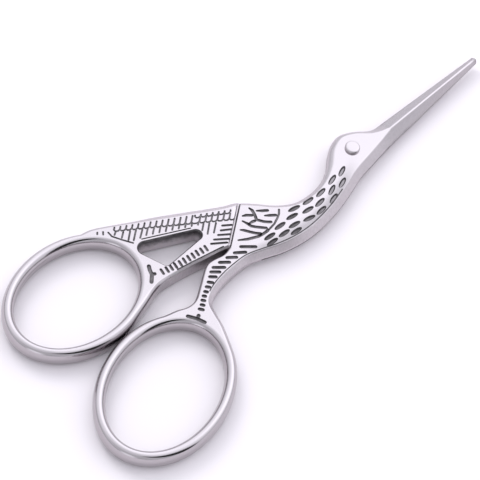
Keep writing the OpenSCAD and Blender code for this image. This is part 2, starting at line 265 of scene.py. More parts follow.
# %% Join the drawn points into the two outlines
leg_arc = ring_arc(LEG_RING, 38, 325)
tail_arc = ring_arc(TAIL_RING, 52, 285)
leg_body = (
    curve(crown(False) + TAIL_TOP[:2])
    + [TAIL_TOP[0], (NOTCH[0] - 0.2, 3.8, 0.4, 1.0, 0.6)]
    + curve(LEG_TOP[:1] + LEG_TOP + leg_arc[:2])
    + leg_arc[:-1]
    + curve(leg_arc[-2:] + LEG_FOOT + breast(True)))
tail_body = (
    curve(crown(True) + TAIL_TOP + tail_arc[:2])
    + tail_arc[:-1]
    + curve(tail_arc[-2:] + TAIL_FOOT + TAIL_FOOT[-1:])
    + [TAIL_FOOT[-1], (NOTCH[0] - 1.9, -2.0, 0.4, 1.0, 0.6)]
    + curve([LEG_FOOT[-1][:2] + (0.1, 1.0, 0.6)] * 2 + breast(False)))
print("outline points:", len(leg_body), "leg half,", len(tail_body), "tail half")

# %% [markdown]
# ## Holes
# The finger holes have the inner half of the bar's round section, and the window in the tail a
# small chamfer. They run the other way round, so that the metal is on the left of every line.

# %% Finger holes and the tail's window
WINDOW_EDGE = 0.28
WINDOW_STEP = 12
WINDOW_CORNERS = [
    ((-37.4, 6.1), 1.05, 63, -100),
    ((-45.7, 5.5), 0.7, -100, -162),
    ((-46.6, 10.35), 1.35, -162, -297)]


def finger_hole(ring):
    return [oval(ring, 0, -a) + (BAR_EDGE, 0.0, 1.0) for a in range(0, 360, ARC_STEP)]


window = []
for (cx, cy), radius, start, end in WINDOW_CORNERS:
    n = ceil((start - end) / WINDOW_STEP)
    for k in range(n + 1):
        a = radians(mix(start, end, k / n))
        window.append((cx + radius * cos(a), cy + radius * sin(a), WINDOW_EDGE, 0.7, 0.7))

# %% [markdown]
# ## From a line to a rounded plate
# A loop of edges at half height is extruded upwards and downwards in steps, and after each step
# the new points move inwards and up along the edge's profile. This keeps every ring of points in
# step with the outline, which a bevel of the finished plate can't do where the reach of the edge
# changes. The two flat faces are filled last, the beak's narrow ridge with its own quads. A small V
# runs at half height where the halves are lapped, so that the joint between them shows as a line.

# %% The profile of the edge and the plate builder
EDGE_STEPS = 7
STEEL, BLACK, FINE, SCALE_FLOOR, BARE = range(5)
LAP_V = 0.22
CREASE, RIDGE_CREASE = 0.2, 0.05


def edge_place(p, inward, cutting, t):
    """Place on the edge's profile: t is 0 at the wall and 1 at the flat face."""
    x, y, edge, flat, share = p
    plain = max(LAP_V, HALF - edge * HALF / (BAR / 2) * share)
    beak = EDGE_FLAT if cutting else SPINE_WALL * ridge_height(x) / HALF
    wall = mix(plain, beak, clamp((x - 2) / (ROOT - 2)))
    reach = edge * mix(1 - cos(pi / 2 * t), t, flat)
    rise = (ridge_height(x) - wall) * mix(sin(pi / 2 * t), t, flat)
    return Vector((x + inward.x * reach, y + inward.y * reach, wall + rise))


def crease_place(p, inward, cutting):
    """A little inside the flat face, so that the crease catches the light as a worn one does."""
    width = mix(max(0.015, CREASE * p[3]), RIDGE_CREASE, clamp((p[0] - 2) / (ROOT - 2)))
    return edge_place(p, inward, cutting, 1) + Vector((inward.x, inward.y, 0)) * width


def inward_of(line):
    turned = []
    for i, p in enumerate(line):
        a, b = line[i - 1], line[(i + 1) % len(line)]
        turned.append(Vector((a[1] - b[1], b[0] - a[0], 0)).normalized())
    return turned


def unpaired(bm):
    """How many edges don't lie between exactly two faces; a closed mesh has none."""
    return sum(len(e.link_faces) != 2 for e in bm.edges)


def rounded_plate(body, cutting_below, holes, lapped):
    """A closed plate; lapped(x, y) says how much of a groove its edge has at half height."""
    beak = beak_line(cutting_below)
    lines = [body + beak] + holes
    # The outline and the finger hole are polished. The window after them has a bare steel wall,
    # and its chamfer takes the dark groove finish as a painted dark reflection along its rim.
    points = [p for line in lines for p in line]
    inward = [v for line in lines for v in inward_of(line)]
    unpolished = sum(len(line) for line in lines[:2])
    bm = bmesh.new()
    station = bm.verts.layers.int.new("station")
    middle = []
    for line in lines:
        loop = [bm.verts.new((0, 0, 0)) for _ in line]
        middle += [bm.edges.new((loop[i - 1], loop[i])) for i in range(len(loop))]
    for i, v in enumerate(bm.verts):
        v[station] = i
        v.co = Vector(points[i][:2] + (0,)) + inward[i] * LAP_V * lapped(*points[i][:2])
    for up in (1, -1):
        rim = middle
        for step in range(-1, EDGE_STEPS + 2):
            grown = bmesh.ops.extrude_edge_only(bm, edges=rim)["geom"]
            fresh = {v for v in grown if isinstance(v, bmesh.types.BMVert)}
            for v in fresh:
                i = v[station]
                p = points[i]
                cutting = (inward[i].y > 0) == cutting_below
                if step < 0:
                    v.co = (p[0], p[1], LAP_V * 0.7)
                elif step > EDGE_STEPS:
                    v.co = crease_place(p, inward[i], cutting)
                else:
                    v.co = edge_place(p, inward[i], cutting, step / EDGE_STEPS)
                v.co.z *= up
            for f in (f for f in grown if isinstance(f, bmesh.types.BMFace)):
                first = min(v[station] for v in f.verts)
                seam = step < 0 and lapped(*points[first][:2]) > 0.5
                window_wall = step <= EDGE_STEPS and first >= unpolished
                f.material_index = STEEL
                # The window's chamfer takes the dark groove finish as a painted dark reflection; the lap
                # V takes it as the dark joint.
                if seam or window_wall:
                    f.material_index = FINE if seam or step > 0 else BARE
            rim = [e for e in grown
                   if isinstance(e, bmesh.types.BMEdge) and fresh.issuperset(e.verts)]
        top = {v[station]: v for e in rim for v in e.verts}
        first, last = len(body), len(body) + len(beak)
        for k in range(BEAK_STEPS + 1):
            quad = [top[first + k], top[first + k + 1], top[last - k - 1], top[(last - k) % last]]
            bmesh.ops.contextual_create(bm, geom=quad)
        root = bm.edges.get((top[first], top[0]))
        open_rim = [e for e in rim if len(e.link_faces) == 1] + [root]
        bmesh.ops.triangle_fill(bm, use_beauty=True, use_dissolve=False, edges=open_rim)
    bmesh.ops.recalc_face_normals(bm, faces=bm.faces)
    print("plate before any cut:", len(bm.faces), "faces,", unpaired(bm), "unpaired edges")
    return bm


# %% [markdown]
# ## Cutting the shoulders
# The lap is a flat step at half height. The cutters are plain blocks: one takes away everything on
# the other half's side of its shoulder, the other takes away the layer in which the other half lies.
# A fine gap stays between the halves, as it does on real ones.

# %% Blocks that cut the lap, the shoulders and the rivet's hole
LAP_GAP, SEAM_GAP = 0.04, 0.14
FAR = 60.0
SHANK_R, FOOT_R, FOOT_H = 1.05, 1.5, 0.6
RUN_GAP = 0.03
TURN_STEPS = 64


def to_object(bm, name):
    """Scale a drawing in millimetres to metres and move it onto the rivet."""
    bmesh.ops.scale(bm, vec=(MM, MM, MM), verts=bm.verts)
    bmesh.ops.translate(bm, vec=EYE, verts=bm.verts)
    mesh = bpy.data.meshes.new(name)
    bm.to_mesh(mesh)
    bm.free()
    piece = bpy.data.objects.new(name, mesh)
    bpy.context.scene.collection.objects.link(piece)
    return piece


def shifted(a, b, gap):
    """The line from a to b, moved to its left by a gap."""
    d = Vector((b[0] - a[0], b[1] - a[1])).normalized() * gap
    return (a[0] - d.y, a[1] + d.x), (b[0] - d.y, b[1] + d.x)


def add_block(bm, corners, low, high):
    verts = [bm.verts.new((x, y, low)) for x, y in corners]
    face = bmesh.ops.contextual_create(bm, geom=verts)["faces"]
    raised = bmesh.ops.extrude_face_region(bm, geom=face)["geom"]
    lid = [v for v in raised if isinstance(v, bmesh.types.BMVert)]
    bmesh.ops.translate(bm, vec=(0, 0, high - low), verts=lid)


def add_turned(bm, profile):
    """A turned cutter or piece from [radius, height] points that start and end on the axis."""
    verts = [bm.verts.new((r, 0, z)) for r, z in profile]
    edges = [bm.edges.new(pair) for pair in zip(verts, verts[1:])]
    bmesh.ops.spin(bm, geom=verts + edges, cent=(0, 0, 0), axis=(0, 0, 1), angle=2 * pi,
                   steps=TURN_STEPS, use_merge=True, use_duplicate=False)
    bmesh.ops.remove_doubles(bm, verts=bm.verts, dist=1e-5)


def past(end, start):
    """The point as far beyond the end of a line as the line is long."""
    return 2 * end[0] - start[0], 2 * end[1] - start[1]


FRONT_SEAM = (past(CORNER, NOTCH), NOTCH)
BACK_SEAM = (past(SHOULDER, NOTCH), NOTCH)
SPLIT = (NOTCH[0] - 3.7, 0.35)


def shoulder_blocks(seam_full, seam_half, side, name):
    """side is 1 for the leg half, whose lap is taken from below, and -1 for the tail half."""
    bm = bmesh.new()
    a, b = shifted(*seam_full, SEAM_GAP / 2 * -side)
    s = shifted(NOTCH, SPLIT, SEAM_GAP / 2 * -side)
    add_block(bm, [a, b, s[1], (SPLIT[0], side * FAR), (a[0], side * FAR)], -HALF - 2, HALF + 2)
    a, b = shifted(*seam_half, SEAM_GAP / 2 * side)
    lap = (-HALF - 1, LAP_GAP / 2) if side > 0 else (-LAP_GAP / 2, HALF + 1)
    add_block(bm, [a, b, (b[0], side * FAR), (FAR, side * FAR), (FAR, -side * FAR)], *lap)
    bmesh.ops.recalc_face_normals(bm, faces=bm.faces)
    for f in bm.faces:
        f.material_index = BARE
    return to_object(bm, name)


def rivet_hole(name):
    bm = bmesh.new()
    shank, foot = SHANK_R + RUN_GAP, FOOT_R + RUN_GAP
    add_turned(bm, [(0, -HALF - 1), (foot, -HALF - 1), (foot, -HALF), (shank, FOOT_H - HALF),
                    (shank, HALF + 1), (0, HALF + 1)])
    bmesh.ops.recalc_face_normals(bm, faces=bm.faces)
    return to_object(bm, name)


# %% [markdown]
# ## The pressed ornament
# The feathers, the scales of the neck and the bars of the leg are grooves with sloping sides. A
# groove is a small boat: a flat shape above the face, extruded down and drawn in. A line of any
# length is one boat, with mitred corners, because boats laid end to end would cut each other's
# floors. All boats go into one mesh, and a single Boolean cuts them. The cut faces keep the boats'
# own materials.

# %% Groove tools
RIM = 0.12
SLIMMEST_MITRE = 0.6
SCALE_POINTS = 20


def add_line(bm, path, width, depth, face, wall, floor=None, taper=0.7, start=1.0):
    """A groove along a path, with a round end; start makes its beginning slimmer than the rest."""
    points = [Vector(p) for p in path]
    runs = [(b - a).normalized() for a, b in zip(points, points[1:])]
    left, right = [], []
    for i, p in enumerate(points):
        before, after = runs[max(0, i - 1)], runs[min(i, len(runs) - 1)]
        mitre = (before + after).normalized()
        half = width / 2 * (start if i == 0 else 1) / max(SLIMMEST_MITRE, mitre.dot(after))
        left.append((p, Vector((-mitre.y, mitre.x)) * half))
        right.append((p, Vector((mitre.y, -mitre.x)) * half))
    cap, tail = [], []
    for degree in (45, 0, -45):
        turn = Matrix.Rotation(radians(degree), 2)
        cap.append((points[-1] - runs[-1] * width / 2, turn @ runs[-1] * width / 2))
        tail.append((points[0] + runs[0] * width / 2 * start, turn @ -runs[0] * width / 2 * start))
    left[0] = (tail[0][0], left[0][1])
    right[0] = (tail[0][0], right[0][1])
    left[-1] = (cap[0][0], left[-1][1])
    right[-1] = (cap[0][0], right[-1][1])
    shape = left + cap + right[::-1] + tail
    sink(bm, shape, depth, taper, face, wall, floor)


def add_scale(bm, centre, length, width, tilt, depth, face, wall, floor, taper):
    """An oval groove."""
    turn = Matrix.Rotation(radians(tilt), 2)
    shape = []
    for k in range(SCALE_POINTS):
        a = 2 * pi * k / SCALE_POINTS
        spine = turn @ Vector(((length - width) / 2 * cos(a), 0))
        reach = turn @ Vector((width / 2 * cos(a), width / 2 * sin(a)))
        shape.append((Vector(centre) + spine, reach))
    sink(bm, shape, depth, taper, face, wall, floor)


def sink(bm, shape, depth, taper, face, wall, floor):
    """Extrude a flat shape, given as places on its spine and reaches from there, into the face."""
    up = 1 if face > 0 else -1
    verts = [bm.verts.new((*(spine + reach), face + RIM * up)) for spine, reach in shape]
    edges = [bm.edges.new((verts[i - 1], verts[i])) for i in range(len(verts))]
    lid = bmesh.ops.contextual_create(bm, geom=edges)["faces"]
    grown = bmesh.ops.extrude_face_region(bm, geom=lid)["geom"]
    floors = [f for f in grown if isinstance(f, bmesh.types.BMFace)]
    for v in (v for v in grown if isinstance(v, bmesh.types.BMVert)):
        spine, reach = min(shape, key=lambda place: (place[0] + place[1] - v.co.xy).length)
        v.co = (*(spine + reach * taper), face - depth * up)
    for f in {f for v in verts for f in v.link_faces}:
        f.material_index = wall
    for f in floors:
        f.material_index = wall if floor is None else floor


# %% [markdown]
# ## Where the marks lie
# The marks are kept as lists of places, one list for each part of the bird. Straight marks are
# given by their two ends, the wing by short chains, and the scales by centre and tilt.

# %% Leg, tail, wing and neck marks
LEG_BARS = [
    ((-33.2, -1.2), (-30.5, -3.6)), ((-35.1, -1.4), (-32.8, -3.15)), ((-36.9, -1.2), (-34.9, -2.8)),
    ((-38.7, -1.0), (-36.7, -2.7)), ((-40.4, -1.0), (-38.2, -2.9)), ((-41.4, -1.4), (-39.6, -3.0)),
    ((-42.3, -2.0), (-40.9, -3.3)), ((-43.3, -2.6), (-42.3, -3.8)), ((-44.3, -3.1), (-43.4, -4.1)),
    ((-45.2, -3.6), (-44.5, -4.6)), ((-46.1, -4.1), (-45.4, -5.0)), ((-46.9, -4.6), (-46.2, -5.6)),
    ((-47.7, -5.2), (-47.0, -6.2)), ((-48.6, -5.6), (-47.8, -6.8))]
CROSS_MARKS = [
    [(-48.7, 7.4), (-49.4, 6.3), (-49.8, 5.3), (-51.3, 3.9)], [(-49.8, 5.3), (-48.9, 4.95)],
    [(-51.3, -5.2), (-50.2, -7.0), (-49.5, -9.0)], [(-49.1, -6.6), (-50.0, -7.1)]]
TAIL_BARS = [(-47.9, 4.5), (-46.9, 4.2), (-46.0, 4.0), (-45.1, 3.8), (-44.1, 3.55), (-43.1, 3.45),
             (-42.1, 3.3), (-41.1, 3.15), (-40.1, 3.05), (-39.1, 2.85), (-38.1, 2.7)]
TAIL_SLOTS = [
    ((-36.9, 2.9), (-34.0, 0.8)), ((-35.8, 3.2), (-33.1, 1.1)), ((-34.5, 3.4), (-32.2, 1.7)),
    ((-33.4, 3.8), (-31.3, 2.4)), ((-32.4, 4.4), (-30.5, 3.0))]
WING = [
    [(-32.4, 0), (-30.7, -1.15), (-28.8, -2.05), (-27.4, -2.3), (-26.0, -2.3)],
    [(-25.5, 3.85), (-25.4, 2.9), (-25.75, 1.9), (-26.3, 0.8), (-26, 0.35), (-25.6, -0.35),
     (-25, -1), (-24.3, -1.6)],
    [(-27.9, 3.3), (-27.1, 2.9), (-26.0, 1.9)],
    [(-25.0, 2.4), (-24.1, 1.6), (-22.9, 0.7)],
    [(-24.6, 0.55), (-23.7, -0.15), (-22.5, -1.1)],
    [(-28.6, 2.6), (-28.2, 1.2), (-28.1, 0.5), (-27.6, -0.2), (-26.9, -1), (-26, -2)],
    [(-28.2, 1.2), (-27.3, 1.05), (-26.4, 0.8)],
    [(-30.4, 1.4), (-29.8, 0.7), (-29.2, -0.3), (-28.6, -1.2), (-27.7, -2.2)]]
WING_EDGE = [(-26.8, -2.35), (-25.9, -2.3), (-24.4, -2.1), (-23.1, -1.6), (-22.1, -1.1), (-21.2, -0.25)]
SCALES = [
    (-19.0, -2.2, -12), (-15.7, -2.8, -3), (-12.4, -3.1, 6), (-8.5, -2.5, 15), (-5.6, -2.4, 20),
    (-27.1, -3.5, -5), (-23.9, -3.15, -3), (-20.6, -3.2, -10), (-17.2, -4.2, -7), (-14.2, -4.55, 5),
    (-10.3, -4.1, 20), (-7.5, -4.3, 18), (-27.6, -4.7, -3), (-24.5, -4.85, -4), (-21.6, -4.8, -8),
    (-22.4, -6.05, -5), (-18.4, -5.7, -12), (-15.3, -6.0, 4), (-11.5, -5.7, 14)]

# %% [markdown]
# ## The tail's small feathers
# The tail carries rows of small oblong feathers with rounded ends. Short slanted lines part them at
# an even pitch, and each row ends in a chain of scallops. The lines are worked out from the
# straight lines that bound the rows instead of being listed.

# %% Rows of feathers
PITCH, LEAN = 1.0, 0.72
ABOVE_EDGE = 0.2


def on_edge(x):
    return 15.15 - 0.61 * (x + 44.04)


def on_row(x):
    return 14.63 - 0.6946 * (x + 44.96)


def on_inner(x):
    return 10.98 - 0.505 * (x + 43.3)


def on_outer(x):
    return 9.3 - 0.632 * (x + 35.2)


def slide(x, y, by):
    """A step up the slant of the lines between the feathers."""
    return x + by, y + LEAN * by


def drop_to(x, y, line):
    """Goes down the slant from a point until it meets a line."""
    step = 0.0
    while y - LEAN * step > line(x - step) and step < 4:
        step += 0.02
    return slide(x, y, -step)


def scallops(feet):
    """The rounded ends of a row of feathers, from the feet of the lines between them."""
    path = []
    for (x0, y0), (x1, y1) in zip(feet, feet[1:]):
        path += [(x0 + 0.14, y0 + 0.12), (mix(x0, x1, 0.3) - 0.08, mix(y0, y1, 0.3) - 0.1),
                 (mix(x0, x1, 0.72) - 0.08, mix(y0, y1, 0.72) - 0.1)]
    return path + [(feet[-1][0] + 0.14, feet[-1][1] + 0.12)]


feathers = []
long_feet, short_feet = [], []
for k in range(21):
    x = -47.9 + PITCH * k
    top = slide(x, on_edge(x), ABOVE_EDGE) if k < 14 else (x, on_outer(x))
    long_feet.append(drop_to(*top, on_row))
    feathers.append([top, long_feet[-1]])
for k in range(7):
    x = -34.5 + PITCH * k
    short_feet.append(drop_to(x, on_edge(x), on_outer))
    feathers.append([slide(x, on_edge(x), ABOVE_EDGE), short_feet[-1]])
feathers += [scallops(long_feet), scallops(short_feet)]
for k in range(9):
    x = -43.1 + PITCH * k
    foot = drop_to(x, on_row(x), on_inner)
    feathers.append([(x, on_row(x)), (mix(foot[0], x, 0.2), mix(foot[1], on_row(x), 0.2))])
feathers += [
    [(-48.1, on_row(-48.1)), (-49.2, 16.2)], [(-47.15, 15.8), (-48.6, 14.8)],
    [(-46.05, 15.1), (-48.0, 13.6)], [(-45.1, 14.5), (-47.3, 12.9)], [(-44.05, 13.8), (-46.0, 12.5)],
    [(-49.5, 17.7), (-49.6, 16.4), (-48.7, 14.6), (-47.5, 12.5)],
    [(-50.0, 18.4), (-50.7, 17.6)], [(-50.9, 19.0), (-51.5, 18.4)],
    [(-34.35, 7.1), (-36.0, 5.9)], [(-33.5, 6.4), (-35.8, 4.65)], [(-32.5, 5.6), (-34.7, 4.05)]]
BORDER_LINES = [[(-45.9, on_inner(-45.9)), (-37.0, on_inner(-37.0))],
                [(-45.6, 2.95), (-42.3, 2.32), (-39.3, 1.66), (-36.6, 1.1), (-35.2, 0.78)]]
print("feather lines:", len(feathers))

# %% [markdown]
# ## One mesh of boats for each face
# The back of real scissors usually carries the same picture, so the same lists are cut from both
# sides. A hair-thin dark groove runs just inside the crease of the breast and the leg as a painted
# reflection of the sky's dark band, and the seam between the halves has a chamfer on the tail's
# side of a narrow gap. It ends in a deeper dip at its outer end.

# %% Widths and depths of the marks, and the grooves of a face
LEG_GROOVE = (0.78, 0.34)
CROSS_GROOVE = (0.85, 0.34)
BAR_GROOVE = (0.6, 0.3)
SLOT_GROOVE = (0.54, 0.26)
WING_GROOVE, WING_START = (0.72, 0.26), 0.6
WING_EDGE_GROOVE = (0.5, 0.2)
FEATHER_GROOVE = (0.42, 0.18)
BORDER_GROOVE = (0.3, 0.2)
PAINTED_CREASE_LINE = (0.28, 0.15)
CHAMFER_GROOVE, CHAMFER_TAPER, CHAMFER_SHIFT = (0.75, 0.24), 0.2, 0.2
SEAM_GROOVE, SEAM_SHIFT = (0.26, 0.5), 0.12
DIP_GROOVE = (0.6, 0.9)
SCALE_LENGTH, SCALE_WIDTH, SCALE_DEPTH, SCALE_TAPER = 3.0, 1.15, 0.34, 0.4
CREASE_FROM, CREASE_TO, CREASE_UNDER = -44, -8, -4


def along_seam(outer, start, end):
    """A stretch of the straight line from the outer end of a seam to the notch."""
    return [tuple(mix(a, b, t) for a, b in zip(outer, NOTCH)) for t in (start, end)]


def ornament(face, name):
    bm = bmesh.new()
    for path in LEG_BARS:
        add_line(bm, path, *LEG_GROOVE, face, BLACK)
    for path in CROSS_MARKS:
        add_line(bm, path, *CROSS_GROOVE, face, BLACK)
    for x, y in TAIL_BARS:
        add_line(bm, [(x - 0.2, y - 0.8), (x + 0.2, y + 0.8)], *BAR_GROOVE, face, BLACK)
    for path in TAIL_SLOTS:
        add_line(bm, path, *SLOT_GROOVE, face, BLACK)
    for path in WING:
        add_line(bm, path, *WING_GROOVE, face, BLACK, start=WING_START)
    add_line(bm, WING_EDGE, *WING_EDGE_GROOVE, face, BLACK)
    for x, y, tilt in SCALES:
        add_scale(bm, (x, y), SCALE_LENGTH, SCALE_WIDTH, tilt, SCALE_DEPTH,
                  face, FINE, SCALE_FLOOR, SCALE_TAPER)
    for path in feathers:
        add_line(bm, path, *FEATHER_GROOVE, face, BLACK)
    for path in BORDER_LINES:
        add_line(bm, path, *BORDER_GROOVE, face, FINE)
    # Painted reflection: a dark groove just inside the crease of the breast and the leg.
    crease = [crease_place(p, v, False).xy for p, v in zip(leg_body, inward_of(leg_body))
              if CREASE_FROM < p[0] < CREASE_TO and p[1] < CREASE_UNDER]
    add_line(bm, crease, *PAINTED_CREASE_LINE, face, BLACK)
    outer = CORNER if face > 0 else SHOULDER
    side = 1 if face > 0 else -1
    seam = along_seam(outer, -0.15, 1.0)
    add_line(bm, shifted(*seam, -CHAMFER_SHIFT * side), *CHAMFER_GROOVE, face, STEEL,
             taper=CHAMFER_TAPER)
    add_line(bm, shifted(*seam, SEAM_SHIFT * side), *SEAM_GROOVE, face, FINE)
    add_line(bm, along_seam(outer, -0.2, 0.05), *DIP_GROOVE, face, STEEL)
    bmesh.ops.recalc_face_normals(bm, faces=bm.faces)
    print(name, "has", len(bm.faces), "faces")
    return to_object(bm, name)


# %% [markdown]
# ## Materials
# Everything is one metal: forged steel with a bright nickel plate. Nickel gives back a little more
# than half of the light, with a faintly warm tone, so the white table looks pinkish grey in it and
# only the brightest part of the sky looks white. The flat faces and the rings are polished, the
# flanks and the ground blades are satin.

# %% A small kit for shader maths
class Sum:
    """Wraps a socket so that values can be added and multiplied as in ordinary maths."""

    def __init__(self, tree, socket):
        self.tree, self.socket = tree, socket

    def math(self, operation, other, swap=False):
        node = self.tree.nodes.new("ShaderNodeMath")
        node.operation = operation
        for slot, value in zip((1, 0) if swap else (0, 1), (self, other)):
            if isinstance(value, Sum):
                self.tree.links.new(value.socket, node.inputs[slot])
            else:
                node.inputs[slot].default_value = value
        return Sum(self.tree, node.outputs[0])

    def __add__(self, other):
        return self.math("ADD", other)

    def __mul__(self, other):
        return self.math("MULTIPLY", other)

    def __sub__(self, other):
        return self.math("SUBTRACT", other)

    def __rsub__(self, other):
        return self.math("SUBTRACT", other, swap=True)

    __radd__, __rmul__ = __add__, __mul__


class Finish:
    """The nodes of a material or of the sky, and the one method that adds any node to them."""

    def __init__(self, owner):
        owner.use_nodes = True
        self.owner, self.tree = owner, owner.node_tree

    def node(self, kind, settings=None, output=0, **sockets):
        """Adds a node; a socket is named by its name or by _ and its number."""
        node = self.tree.nodes.new(kind)
        for key, value in (settings or {}).items():
            setattr(node, key, value)
        for key, value in sockets.items():
            self.plug(node.inputs[int(key[1:]) if key[0] == "_" else key.replace("_", " ")], value)
        return Sum(self.tree, node.outputs[output])

    def plug(self, socket, value):
        if isinstance(value, Sum):
            self.tree.links.new(value.socket, socket)
        else:
            socket.default_value = value

    def finish(self, shader, **sockets):
        for key, value in sockets.items():
            self.plug(self.tree.nodes[shader].inputs[key.replace("_", " ")], value)
        return self.owner

    def blend(self, amount, a, b):
        return self.node("ShaderNodeMix", {"data_type": "RGBA"}, output=2, _0=amount, _6=a, _7=b)

    def ramp(self, value, start, end, low=0.0, high=1.0):
        return self.node("ShaderNodeMapRange", {"interpolation_type": "SMOOTHSTEP"}, Value=value,
                         From_Min=start, From_Max=end, To_Min=low, To_Max=high)


def new_material(name):
    return Finish(bpy.data.materials.new(name))


NICKEL = (1.0, 0.935, 0.97)


def nickel(value):
    return tuple(value * c for c in NICKEL) + (1.0,)


# %% [markdown]
# ### Plated steel
# How polished a place is comes from how far its surface faces up or down, which doesn't change
# when a half turns on the rivet. The rings are polished all round. Along the breast the face is a
# little rougher, where the wheel slips off, and its colour is darker there as painted shade. The
# flanks, the blades and the sides of the rings are given a darker colour than the faces, also as
# painted shade. The rest is what making and use leave: cloudy rubbed patches, hairlines from a
# cloth, upright grinding marks on the flanks and blades, and a few dark pits inside the rings,
# where a polishing wheel doesn't reach. The inside of the rings also has a thin dark line a
# little above half height.

# %% Bright plated steel
def plated_steel():
    f = new_material("plated_steel")
    place = f.node("ShaderNodeTexCoord", output=3)
    normal = f.node("ShaderNodeNewGeometry", output=1)
    facing = f.node("ShaderNodeSeparateXYZ", output=2, _0=normal).math("ABSOLUTE", 0)
    ring = f.ramp(f.node("ShaderNodeSeparateXYZ", output=0, _0=place), EYE.x - 0.046, EYE.x - 0.05)
    polished = 1 - (1 - f.ramp(facing, 0.8, 0.985)) * (1 - ring)
    cloud = f.node("ShaderNodeTexNoise", Vector=place, Scale=230.0, Detail=4.0, Roughness=0.6)
    grain = f.node("ShaderNodeTexNoise", Vector=place, Scale=5200.0, Detail=3.0, Roughness=0.6)
    upright = f.node("ShaderNodeVectorMath", {"operation": "MULTIPLY"}, _0=place,
                     _1=(3600.0, 3600.0, 500.0))
    grinding = f.node("ShaderNodeTexNoise", Vector=upright, Scale=1.0, Detail=2.0, Roughness=0.7)
    rubbed = f.node("ShaderNodeVectorMath", {"operation": "MULTIPLY"}, _0=place,
                    _1=(700.0, 9000.0, 3000.0))
    hairlines = f.node("ShaderNodeTexNoise", Vector=rubbed, Scale=1.0, Detail=1.0)
    height = f.node("ShaderNodeSeparateXYZ", output=2, _0=place)
    upper = f.ramp(f.node("ShaderNodeSeparateXYZ", output=1, _0=place), EYE.y - 0.001, EYE.y)
    centres = [(EYE.x + bow["x"] * MM, EYE.y + bow["y"] * MM, EYE.z, 1)
               for bow in (LEG_RING, TAIL_RING)]
    inward = f.node("ShaderNodeVectorMath", {"operation": "SUBTRACT"},
                    _0=f.blend(upper, *centres), _1=place)
    inside = f.node("ShaderNodeVectorMath", {"operation": "DOT_PRODUCT"}, output=1, _0=inward,
                    _1=f.node("ShaderNodeTexCoord", output=1))
    inside = f.ramp(inside, 0.003, 0.008) * ring
    low = f.ramp(height, EYE.z - 0.0004, EYE.z - 0.001)
    holes = f.node("ShaderNodeTexVoronoi", Vector=place, Scale=1150.0)
    pits = f.ramp(holes, 0.36, 0.2) * f.ramp(cloud, 0.48, 0.56) * low * inside
    # A thin dark line a little above half height inside the rings, with a matching dip in the bump.
    inner_line = f.ramp((height - (EYE.z + 0.0007)).math("ABSOLUTE", 0), 0.00014, 0.00004) * inside
    pits_and_line = 1 - (1 - pits * 0.8) * (1 - inner_line * 0.5)
    east = f.node("ShaderNodeSeparateXYZ", output=0, _0=place) - (EYE.x - 0.0188)
    north = f.node("ShaderNodeSeparateXYZ", output=1, _0=place)
    above_breast = north - (EYE.y - 0.0083) - east * east * 14.5
    # Painted shade along the breast: a darker colour, together with a higher roughness.
    dull_and_shaded = (f.ramp(above_breast + cloud * 0.001, 0.0044, 0.0024) * f.ramp(east, -0.016, -0.01)
            * f.ramp(east, 0.018, 0.01) * polished)
    face = f.blend(dull_and_shaded, nickel(0.64), nickel(0.42))
    beak = f.ramp(east, 0.022, 0.029)
    # Painted shade: the flanks, the blades and the sides of the rings get a darker colour than the
    # faces.
    flank = f.blend(ring, f.blend(beak, nickel(0.57), nickel(0.49)), nickel(0.47))
    plate = f.blend(f.ramp(facing, 0.75, 0.95), flank, face)
    worn = f.blend(f.ramp(grinding, 0.35, 0.7) * (1 - polished) * 0.3, plate, nickel(0.36))
    colour = f.blend(pits_and_line, worn, nickel(0.06))
    rough = 0.3 - polished * 0.2 + cloud * 0.04 + dull_and_shaded * 0.15
    relief = f.node("ShaderNodeBump", Strength=0.2, Distance=0.00002,
                    Height=grain * 0.3 + hairlines * 0.25 + grinding * (1 - polished) * 0.9 - pits_and_line * 3)
    return f.finish("Principled BSDF", Base_Color=colour, Metallic=1.0, Roughness=rough, Normal=relief)


# %% [markdown]
# ### Grooves and hidden faces
# The marks hold a black film. The flat floor of the scales is lighter, more and more towards the
# head. The lapped faces and the walls of the window, which no polisher can reach, stay as bare
# grey steel, darker towards the top as a painted dark reflection along the rim. The window's
# chamfer takes the dark groove finish as the same painted dark reflection.

# %% The finishes of grooves and lapped faces
def filmed_steel(name, dark, light, rough, towards_head=0.0):
    f = new_material(name)
    place = f.node("ShaderNodeTexCoord", output=3)
    film = f.node("ShaderNodeTexNoise", Vector=place, Scale=900.0, Detail=3.0, Roughness=0.6)
    head = f.ramp(f.node("ShaderNodeSeparateXYZ", output=0, _0=place),
                  EYE.x - 0.022, EYE.x - 0.008) * towards_head
    colour = f.blend(f.ramp(film, 0.35, 0.68) * (1 - towards_head) + head, nickel(dark), nickel(light))
    relief = f.node("ShaderNodeBump", Strength=0.25, Distance=0.00003, Height=film)
    return f.finish("Principled BSDF", Base_Color=colour, Metallic=0.8, Roughness=rough, Normal=relief)


def bare_steel():
    """Unpolished faces, darker towards the top as a painted dark reflection along the rim."""
    f = new_material("bare_steel")
    place = f.node("ShaderNodeTexCoord", output=3)
    height = f.node("ShaderNodeSeparateXYZ", output=2, _0=place)
    mottle = f.node("ShaderNodeTexNoise", Vector=place, Scale=700.0, Detail=4.0, Roughness=0.7)
    # Painted dark reflection: the colour darkens towards the top edge, broken up by noise.
    below_painted_rim = f.ramp(height + mottle * 0.0024, EYE.z + 0.0028, EYE.z + 0.0002)
    relief = f.node("ShaderNodeBump", Strength=0.4, Distance=0.00005, Height=mottle)
    return f.finish("Principled BSDF", Base_Color=f.blend(below_painted_rim, nickel(0.1), nickel(0.62)),
                    Metallic=0.9, Roughness=0.42, Normal=relief)


